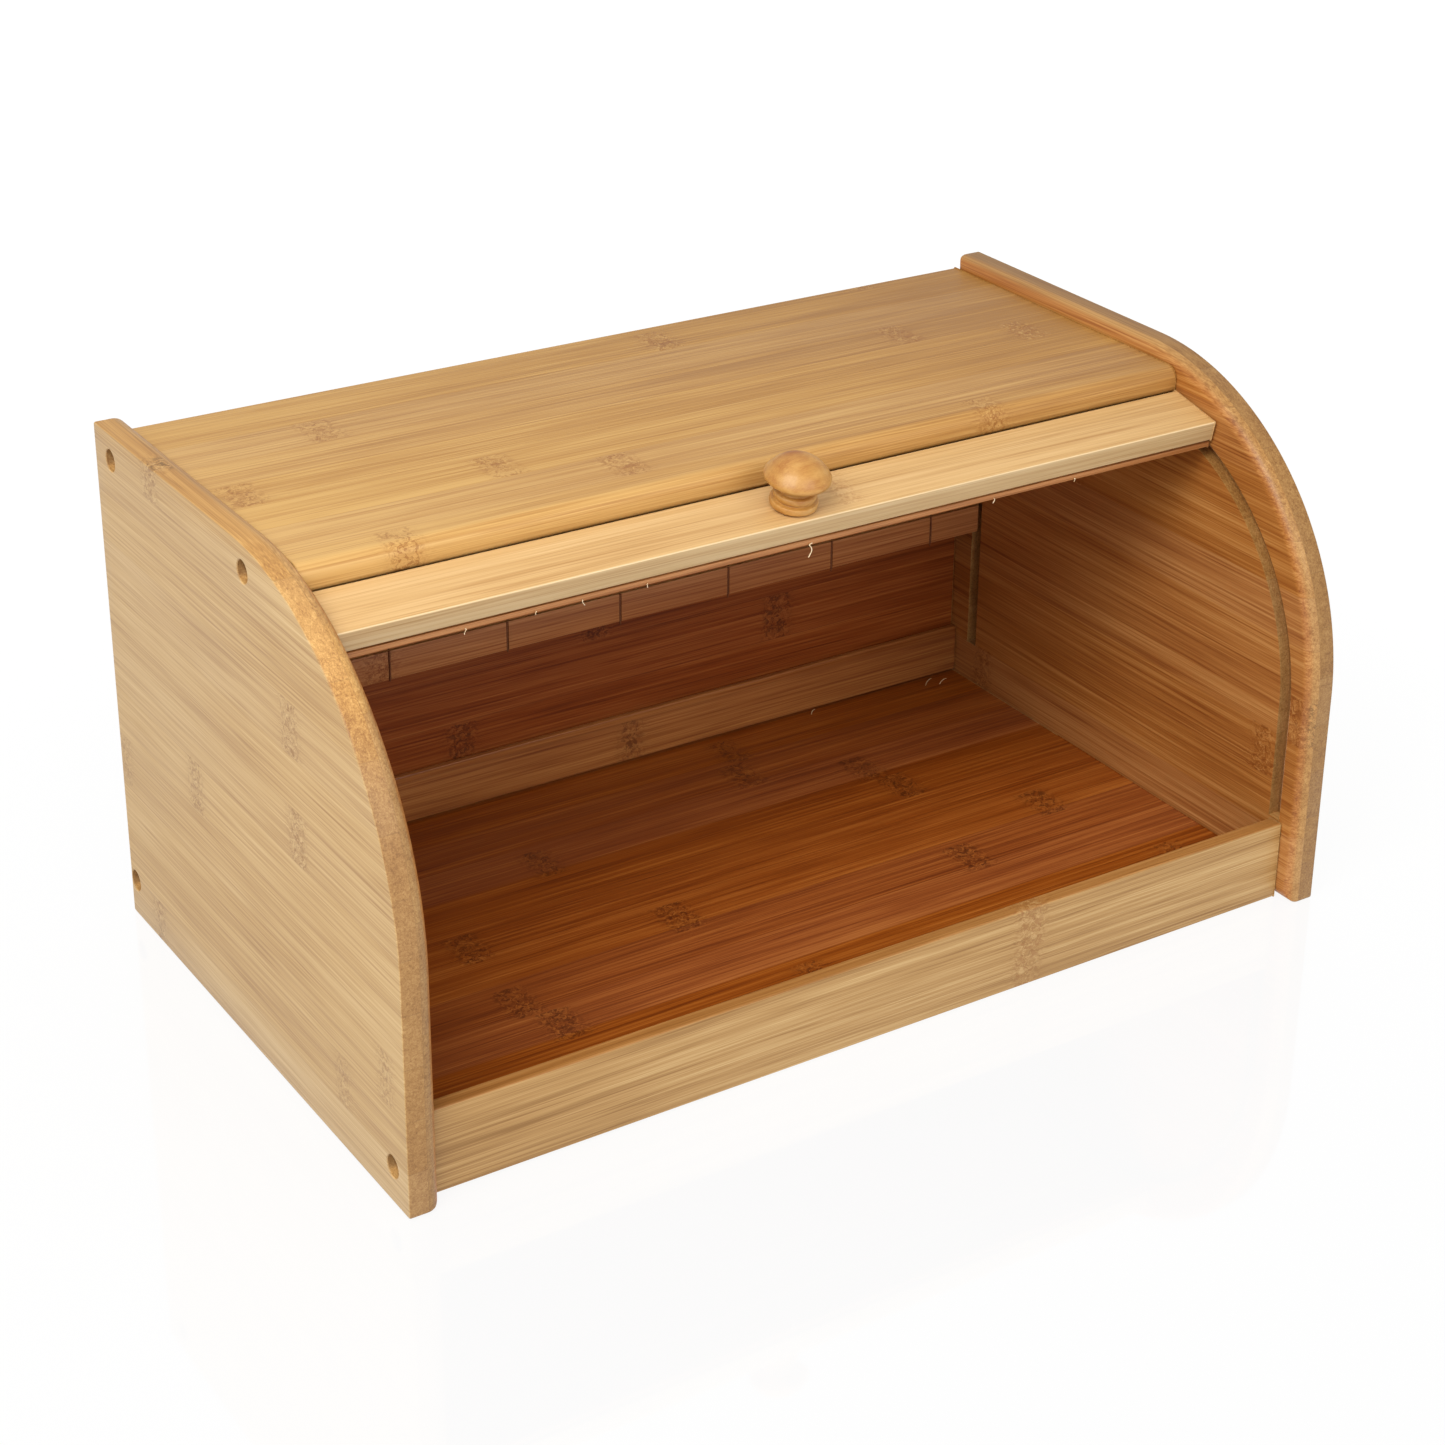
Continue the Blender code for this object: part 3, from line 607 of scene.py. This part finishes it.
def knob_material():
    g = Nodes("knob_wood")
    x, y, z = g.coords()
    # growth rings of a small turned blank, its grain along X
    base = g.vec(g.mul(x, 26.0), g.mul(y, 190.0), g.mul(z, 190.0))
    warp = g.noise(base, 1.0, 2.0)
    rings_ = g.math("SINE", g.mad(warp, 16.0, g.mul(z, 900.0)))
    fine = g.noise(g.vec(g.mul(x, 160.0), g.mul(y, 2600.0), g.mul(z, 2600.0)), 1.0, 2.0)
    blotch = g.noise(g.vec(g.mul(x, 110.0), g.mul(y, 110.0), g.mul(z, 110.0)), 1.0, 2.0)
    pores = g.noise(g.vec(g.mul(x, 420.0), g.mul(y, 1700.0), g.mul(z, 1700.0)), 1.0, 2.0, 0.7)
    val = g.add(g.mad(rings_, 0.07, 0.5), g.mul(g.math("SUBTRACT", fine, 0.5), 0.22),
                g.mul(g.math("SUBTRACT", blotch, 0.5), 0.60), g.mul(g.math("SUBTRACT", pores, 0.5), 0.35))
    # a darker patch on the cap, towards the rear
    pa, pn = 0.0149 - 0.0050, 0.0128 + 0.0180
    py = HINGE[0][0] - pa * math.cos(PULL_TILT) - pn * math.sin(PULL_TILT)
    pz = HINGE[0][1] - pa * math.sin(PULL_TILT) + pn * math.cos(PULL_TILT)
    dx, dy, dz = (g.math("DIVIDE", g.math("SUBTRACT", q, p), 0.0036) for q, p in ((x, -0.0030), (y, py), (z, pz)))
    near = g.math("POWER", 2.71828, g.mul(g.add(g.mul(dx, dx), g.mul(dy, dy), g.mul(dz, dz)), -1.0))
    val = g.mad(g.mul(near, blotch), -0.75, val)
    col = g.ramp(val, [(0.2, lin((158, 96, 32))), (0.5, lin((186, 134, 64))), (0.85, lin((204, 158, 90)))])
    g.put(g.bsdf.inputs["Base Color"], col)
    g.put(g.bsdf.inputs["Roughness"], g.mad(g.math("SUBTRACT", blotch, 0.5), 0.15, 0.46))
    g.bsdf.inputs["Coat Weight"].default_value = 0.12
    g.bsdf.inputs["Coat Roughness"].default_value = 0.16
    g.bump(g.add(fine, g.mul(blotch, 0.5)), 0.18, 0.0001)
    return g.mat


def steel_material():
    g = Nodes("screw_steel")
    x, y, z = g.coords()
    n = g.noise(g.vec(g.mul(x, 900.0), g.mul(y, 900.0), g.mul(z, 900.0)), 1.0, 3.0)
    b = g.noise(g.vec(g.mul(x, 4000.0), g.mul(y, 600.0), g.mul(z, 4000.0)), 1.0, 1.0)
    g.put(g.bsdf.inputs["Base Color"], g.ramp(n, [(0.3, lin((176, 178, 178))), (0.7, lin((214, 215, 212)))]))
    g.bsdf.inputs["Metallic"].default_value = 1.0
    g.put(g.bsdf.inputs["Roughness"], g.remap(n, 0.3, 0.7, 0.22, 0.38))
    g.bump(b, 0.12, 0.00005)
    return g.mat


def cord_material():
    g = Nodes("cord_cotton")
    x, y, z = g.coords()
    twist = g.math("SINE", g.mul(g.add(x, y, z), 9000.0))
    n = g.noise(g.vec(g.mul(x, 3000.0), g.mul(y, 3000.0), g.mul(z, 3000.0)), 1.0, 2.0)
    g.put(g.bsdf.inputs["Base Color"], g.ramp(n, [(0.3, lin((84, 46, 24))), (0.7, lin((150, 98, 60)))]))
    g.bsdf.inputs["Roughness"].default_value = 0.9
    g.bump(g.add(n, twist), 0.4, 0.00008)
    return g.mat


def fibre_material():
    g = Nodes("bamboo_fibre")
    x, y, z = g.coords()
    n = g.noise(g.vec(g.mul(x, 800.0), g.mul(y, 800.0), g.mul(z, 800.0)), 1.0, 2.0)
    g.put(g.bsdf.inputs["Base Color"], g.ramp(n, [(0.3, lin((222, 190, 140))), (0.7, lin((246, 228, 194)))]))
    g.bsdf.inputs["Roughness"].default_value = 0.7
    g.bump(n, 0.2, 0.00005)
    return g.mat


M_KNOB, M_STEEL, M_CORD, M_FIBRE = knob_material(), steel_material(), cord_material(), fibre_material()


def place(ob, mat, body, node=None):
    ob.data.materials.clear()
    ob.data.materials.append(mat)
    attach(ob, body)
    if node:
        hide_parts(node)
    return ob


# -------------------------------------------------------------- side panels
def side_outline(inset, seg=72):
    y0, y1, zt = -DEPTH / 2, DEPTH / 2, HEIGHT
    cy, cz, r = y0 + SIDE_R, zt - SIDE_R, SIDE_R - inset
    c = 0.0012                                   # small corner radius at the back and at the foot
    pts = []

    def corner(py, pz, a0):
        q = max(c - inset, 0.0002)
        sy, sz = (1 if py > 0 else -1), (1 if pz > 0.1 else -1)
        ky, kz = py - sy * (inset + q), pz - sz * (inset + q)
        for k in range(4):
            a = math.radians(a0 + 30 * k)
            pts.append((ky + q * math.cos(a), kz + q * math.sin(a)))

    corner(y1, 0.0, -90)
    corner(y1, zt, 0)
    for k in range(seg + 1):
        a = math.radians(90 + 90 * k / seg)
        pts.append((cy + r * math.cos(a), cz + r * math.sin(a)))
    corner(y0, 0.0, 180)
    return pts


def x_rod(y, z, prof, seg=48):
    """Turned cutter along X; prof is (x, radius)."""
    bm = bmesh.new()
    rings(bm, [[(x, y + r * math.cos(2 * math.pi * k / seg), z + r * math.sin(2 * math.pi * k / seg))
                for k in range(seg)] for x, r in prof])
    return finish_mesh("cutter", bm)


for side, label, mat in ((-1, "left", M_LEFT), (1, "right", M_RIGHT)):
    outer, inner = side * WIDTH / 2, side * (WIDTH / 2 - SIDE_T)
    e = 0.0007
    steps = []
    for k in range(4):
        a = math.radians(90 * k / 3)
        steps.append((outer - side * e * (1 - math.cos(a)), e * (1 - math.sin(a))))
    for k in range(11):
        a = math.radians(90 * k / 10)
        steps.append((inner + side * EDGE_ROUND * (1 - math.sin(a)), EDGE_ROUND * (1 - math.cos(a))))
    bm = bmesh.new()
    rings(bm, [[(x, y, z) for y, z in side_outline(inset)] for x, inset in steps])
    panel = finish_mesh("side_board_" + label, bm)
    # the routed track
    mid, nf, nb = SLAT_T / 2 - UNDER, 48, 24
    sv = [FOOT_FRONT] + [ARC_Z + ARC_R * math.pi / 2 * k / nf for k in range(nf + 1)]
    sb = LEN_FRONT + BACK_Y - BACK_R - ARC_Y
    sv += [sb + BACK_R * math.pi / 2 * k / nb for k in range(nb + 1)] + [S_BACK_FOOT]
    prof = ([track_point(s, mid + TRACK_W / 2) for s in sv]
            + [track_point(s, mid - TRACK_W / 2) for s in reversed(sv)])
    bm = bmesh.new()
    x0, x1 = inner - side * 0.002, inner + side * TRACK_DEPTH
    rings(bm, [[(x0, y, z) for y, z in prof], [(x1, y, z) for y, z in prof]])
    tools = [finish_mesh("cutter", bm)]
    for y, z in SCREWS.values():
        tools.append(x_rod(y, z, [(outer + side * 0.002, BORE_R + 0.0003), (outer, BORE_R + 0.0003),
                                  (outer - side * 0.0003, BORE_R), (outer - side * BORE_DEPTH, BORE_R)]))
        tools.append(x_rod(y, z, [(outer - side * 0.004, HOLE_R), (inner - side * 0.002, HOLE_R)], 24))
    subtract(panel, tools)
    place(panel, mat, "root", "side_panel_" + label)
    panel.data.materials.append(M_GROOVE)
    line = [track_point(FOOT_FRONT + (S_BACK_FOOT - FOOT_FRONT) * k / 400, mid) for k in range(401)]
    for face in panel.data.polygons:
        cx, cy, cz = face.center
        if 0.1884 < abs(cx) < 0.1945 and abs(face.normal.x) < 0.2:
            vs = [panel.data.vertices[i].co for i in face.vertices]
            cut = all(0.0 <= abs(v.x) - 0.188 <= TRACK_DEPTH + 0.0002 for v in vs)
            if cut and min(math.hypot(cy - a, cz - b) for a, b in line) < TRACK_W / 2 + 0.0006:
                face.material_index = 1
        elif 0.1930 < abs(cx) < 0.1945 and abs(face.normal.x) > 0.9:
            face.material_index = 1


# ------------------------------------------------------------- fixed boards
INNER_X = WIDTH / 2 - SIDE_T - 0.0003


def board(name, node, prof, x, ease, mat, body="root"):
    ob = finish_mesh(name, bar(prof, -x, x, ease))
    return place(ob, mat, body, node)


top_z = HEIGHT - 0.005
board("top_board", "top_panel", profile(-0.0287, DEPTH / 2, top_z - 0.011, top_z, (0.0020, 0.0006, 0.0008, 0.0050)),
      INNER_X, 0.0004, M_TOP)


def cad_board(name, node, radii, x, ease, mat):
    lo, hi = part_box(node)
    return board(name, node, profile(lo.y, hi.y, lo.z, hi.z, radii), x, ease, mat)


cad_board("floor_board", "bottom_panel", (0.0004,) * 4, INNER_X, 0.0003, M_FLOOR)
cad_board("back_board", "back_panel", (0.0005,) * 4, INNER_X, 0.0003, M_BACK)
cad_board("back_foot_strip", "back_strip", (0.0003, 0.0003, 0.0003, 0.0008), INNER_X, 0.0003, M_STRIP)
cad_board("front_sill", "front_rail", (0.0006, 0.0005, 0.0006, 0.0009), INNER_X, 0.0003, M_RAIL)


# ------------------------------------------------------------------- door
def placed(prof, origin, angle):
    """(along, out) points of a slat, turned into (y, z); along runs to the rear."""
    c, s = math.cos(angle), math.sin(angle)
    # angle is how far the rear end lies below the level
    return [(origin[0] + a * c + n * s, origin[1] - a * s + n * c) for a, n in prof]


for i in range(1, SLATS + 1):
    f, r = HINGE[i - 1], HINGE[i]
    ang = math.atan2(f[1] - r[1], r[0] - f[0])
    n0, n1 = -UNDER, SLAT_T - UNDER
    a0, a1 = SPLIT, PITCH - SPLIT
    base = profile(a0, a1, n0, n1, (0.0003, 0.0003, 0.0007, 0.0007), 4)
    lifted = [(a, max(n, n0 + 0.0007)) for a, n in base]
    xs = [(-SLAT_X, 0, 0.0003), (-SLAT_X + 0.0003, 0, 0.0)]
    for cx in CORDS:
        xs += [(cx - 0.00055, 0, 0), (cx - 0.00045, 1, 0), (cx + 0.00045, 1, 0), (cx + 0.00055, 0, 0)]
    xs += [(SLAT_X - 0.0003, 0, 0.0), (SLAT_X, 0, 0.0003)]
    ca, cn = (a0 + a1) / 2, (n0 + n1) / 2
    loops = []
    for xx, kerf, inset in xs:
        pr = lifted if kerf else base
        pr = [(a - math.copysign(min(inset, abs(a - ca)), a - ca), n - math.copysign(min(inset, abs(n - cn)), n - cn))
              for a, n in pr]
        loops.append([(xx, y, z) for y, z in placed(pr, f, ang)])
    bm = bmesh.new()
    rings(bm, loops)
    ob = finish_mesh("tambour_slat_%02d" % i, bm)
    place(ob, slat_material(i), "door_slat_%02d" % i, "slat_%02d" % i)
    # the cords, glued into the kerfs: one short run per slat
    bm = bmesh.new()
    rnd = random.Random(7 + i)
    for cx in CORDS:
        end = a1 + (rnd.uniform(0.0008, 0.0016) if i == SLATS else -0.0001)
        bow = rnd.uniform(-0.0003, 0.0003)
        loops = []
        for k in range(9):
            t = k / 8
            a = a0 + 0.0001 + (end - a0 - 0.0001) * t
            rr = 0.00042 * (1.0 if k < 8 else 0.6)
            cc = (cx + bow * math.sin(math.pi * t) * (1 if i == SLATS else 0.3), a, n0 + 0.00028)
            loops.append([(cc[0] + rr * math.cos(math.tau * q / 10),)
                          + placed([(cc[1], cc[2] + rr * math.sin(math.tau * q / 10))], f, ang)[0] for q in range(10)])
        rings(bm, loops)
    ob = finish_mesh("slat_cords_%02d" % i, bm, 60)
    place(ob, M_CORD, "door_slat_%02d" % i, None)

# pull rail and the tongue under it: along runs forwards from the hinge line
c, s = math.cos(PULL_TILT), math.sin(PULL_TILT)


def on_pull(a, n):
    """A point a ahead of the pull rail's hinge line and n out from it."""
    h = HINGE[0]
    return (h[0] - a * c - n * s, h[1] - a * s + n * c)


def tilted_bar(name, node, a0, a1, n0, n1, radii, x, ease, mat):
    base = profile(-a1, -a0, n0, n1, radii)      # along is -a here
    ca, cn = -(a0 + a1) / 2, (n0 + n1) / 2
    rows = []
    for k in range(5):
        t = math.radians(90 * k / 4)
        rows.append((ease * (1 - math.sin(t)), ease * (1 - math.cos(t))))
    loops = []
    for sgn, seq in ((-1, rows), (1, rows[::-1])):
        for dx, inset in seq:
            pr = [(a - math.copysign(min(inset, abs(a - ca)), a - ca),
                   n - math.copysign(min(inset, abs(n - cn)), n - cn)) for a, n in base]
            loops.append([(sgn * (x - dx),) + on_pull(-a, n) for a, n in pr])
    bm = bmesh.new()
    rings(bm, loops)
    ob = finish_mesh(name, bm)
    return place(ob, mat, "door_pull", node)


tilted_bar("pull_bar", "pull_rail", 0.0, 0.0258, 0.0039, 0.0128, (0.0005, 0.0005, 0.0006, 0.0006), 0.1870, 0.0004,
           M_PULL)
tilted_bar("pull_tongue", "pull_rail_tongue", 0.0006, 0.0250, 0.0003, 0.0033, (0.0006, 0.0004, 0.0003, 0.0004), 0.1870,
           0.0003, M_TONGUE)

# knob: turned, standing on the pull rail
KNOB_X, KNOB_A = -0.0030, 0.0149
KNOB = [(0.0, 0.00002), (0.0081, 0.00002), (0.0087, 0.0005), (0.0089, 0.0013), (0.0089, 0.0023), (0.0086, 0.0028),
        (0.0074, 0.00295), (0.0071, 0.0033), (0.0077, 0.0039), (0.0080, 0.0048), (0.0079, 0.0057), (0.0073, 0.0062),
        (0.0063, 0.0064), (0.0061, 0.0069), (0.0064, 0.0077), (0.0067, 0.0085), (0.0070, 0.0092), (0.0080, 0.0097),
        (0.0102, 0.0103), (0.0118, 0.0111), (0.01232, 0.0120), (0.0121, 0.0131), (0.0108, 0.0150), (0.0085, 0.0173),
        (0.0055, 0.0191), (0.0026, 0.0199), (0.0, 0.0201)]
h = on_pull(KNOB_A, 0.0129)
up_axis = Vector((0.0, -s, c))
knob_at = Matrix.Translation((KNOB_X, h[0], h[1])) @ Vector((0, 0, 1)).rotation_difference(up_axis).to_matrix().to_4x4()
bm = lathe([KNOB[0], KNOB[1]] + spline(KNOB[1:-1], 5)[1:] + [KNOB[-1]], 96)
bm.transform(knob_at)
place(finish_mesh("turned_knob", bm, 50), M_KNOB, "door_pull", "knob")


# ------------------------------------------------------------------ screws
def screw_head_tool(side, x, y, z):
    """Cross recess: two tapered blades."""
    out = []
    for turn in (math.radians(18), math.radians(108)):
        bm = bmesh.new()
        loops = []
        for depth, half, wid in ((0.0006, 0.0023, 0.00050), (-0.0012, 0.0011, 0.00034)):
            pts = [(-half, -wid), (half, -wid), (half, wid), (-half, wid)]
            loops.append([(x + side * depth, y + a * math.cos(turn) - b * math.sin(turn),
                           z + a * math.sin(turn) + b * math.cos(turn)) for a, b in pts])
        rings(bm, loops)
        out.append(finish_mesh("cutter", bm))
    return out


for side, label in ((-1, "left"), (1, "right")):
    for where, (y, z) in SCREWS.items():
        seat = side * (WIDTH / 2 - BORE_DEPTH + 0.0002)
        L, H, R = 0.030, 0.0024, HEAD_R
        prof = [(0.0, 0.0), (0.0006, 0.0004), (0.0016, 0.0040)]
        for k in range(1, 19):                    # thread
            hh = 0.0040 + k * 0.0012
            prof += [(0.00118, hh), (0.0016, hh + 0.0006)]
        prof += [(0.0015, L - 0.002), (0.0016, L), (R * 0.97, L), (R, L + 0.0003), (R * 0.98, L + 0.0009),
                 (R * 0.90, L + 0.0016), (R * 0.74, L + 0.0021), (R * 0.5, L + H), (0.0, L + H)]
        bm = lathe(prof, 40)
        bm.transform(Matrix.Translation((seat - side * L, y, z)) @ Matrix.Rotation(side * math.pi / 2, 4, "Y"))
        ob = finish_mesh("wood_screw_%s_%s" % (label, where), bm, 40)
        subtract(ob, screw_head_tool(side, seat + side * H, y, z))
        place(ob, M_STEEL, "root", "screw_%s_%s" % (label, where))

nodes["knob_screw"].data.materials.clear()
nodes["knob_screw"].data.materials.append(M_STEEL)


# ------------------------------------------------- loose fibres on the edges
def fibre(name, pts, r, body):
    cu = bpy.data.curves.new(name, "CURVE")
    cu.dimensions = "3D"
    cu.bevel_depth, cu.bevel_resolution, cu.use_fill_caps = r, 2, True
    sp = cu.splines.new("POLY")
    fine = spline(pts, 6)
    sp.points.add(len(fine) - 1)
    for p, q in zip(sp.points, fine):
        p.co = (q[0], q[1], q[2], 1.0)
    ob = bpy.data.objects.new(name, cu)
    scene.collection.objects.link(ob)
    cu.materials.append(M_FIBRE)
    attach(ob, body)
    return ob


def on_edge(x, a, n):
    y, z = on_pull(a, n)
    return (x, y, z)


for k, (x, size) in enumerate(((-0.139, 0.0022), (-0.112, 0.0012), (-0.094, 0.0024), (-0.068, 0.0014), (0.0005, 0.0062),
                               (0.082, 0.0020), (0.120, 0.0012))):
    rnd = random.Random(300 + k)
    pts = [on_edge(x, 0.0249, 0.0016)]
    ang = rnd.uniform(-0.6, 0.6)
    for j in range(1, 5):
        t = j / 4
        pts.append(on_edge(x + size * (0.55 * t * math.sin(ang) + 0.18 * math.sin(5.0 * t + k)),
                           0.0251 + 0.0004 * t, 0.0016 - size * 0.9 * t * t))
    fibre("fibre_edge_%d" % k, pts, 0.00013 if size < 0.005 else 0.00020, "door_pull")

for k, (x, y, size) in enumerate(((0.109, 0.1035, 0.0055), (0.170, 0.1015, 0.009), (0.176, 0.0985, 0.007))):
    rnd = random.Random(500 + k)
    pts = []
    ang = rnd.uniform(0.3, 1.3)
    for j in range(5):
        t = j / 4 - 0.5
        pts.append((x + size * t * math.cos(ang) + 0.0006 * math.sin(4 * t), y + size * t * math.sin(ang) * 0.6,
                    0.0117 + 0.0009 * (1 - 4 * t * t)))
    fibre("fibre_floor_%d" % k, pts, 0.00016, "root")

# ------------------------------------------------------------ stage and light
fbm = bmesh.new()
bmesh.ops.create_grid(fbm, x_segments=1, y_segments=1, size=14.0)
floor = finish_mesh("studio_floor", fbm)
floor.location = (0, 0, -0.0002)
g = Nodes("studio_floor")
x, y, z = g.coords()
n = g.noise(g.vec(g.mul(x, 3.0), g.mul(y, 3.0), 0.0), 1.0, 2.0)
g.put(g.bsdf.inputs["Base Color"], g.ramp(n, [(0.3, (0.060, 0.060, 0.060, 1)), (0.7, (0.063, 0.063, 0.063, 1))]))
g.bsdf.inputs["Emission Color"].default_value = (1.0, 1.0, 1.0, 1.0)
g.bsdf.inputs["Emission Strength"].default_value = 0.885
g.bsdf.inputs["Roughness"].default_value = 0.03
g.bsdf.inputs["Specular IOR Level"].default_value = 0.40
floor.data.materials.append(g.mat)

world = bpy.data.worlds.new("studio")
scene.world = world
world.use_nodes = True
bg = world.node_tree.nodes["Background"]
bg.inputs["Color"].default_value = (1.0, 1.0, 1.0, 1.0)
bg.inputs["Strength"].default_value = 0.58


def softbox(name, at, target, size, power, colour=(1, 1, 1)):
    d = bpy.data.lights.new(name, "AREA")
    d.shape, d.size, d.size_y, d.energy, d.color = "RECTANGLE", size[0], size[1], power, colour
    o = bpy.data.objects.new(name, d)
    scene.collection.objects.link(o)
    o.location = at
    o.rotation_euler = (Vector(target) - Vector(at)).to_track_quat("-Z", "Y").to_euler()
    o.visible_camera = False
    return o


softbox("softbox_key", (-0.85, -0.60, 1.15), (-0.02, -0.02, 0.10), (0.9, 0.8), 16.5)
softbox("softbox_top", (0.2, 0.5, 2.2), (0, 0, 0.1), (2.0, 1.6), 4)
softbox("softbox_front", (0.35, -1.9, 1.2), (0, 0, 0.04), (1.4, 0.8), 13)
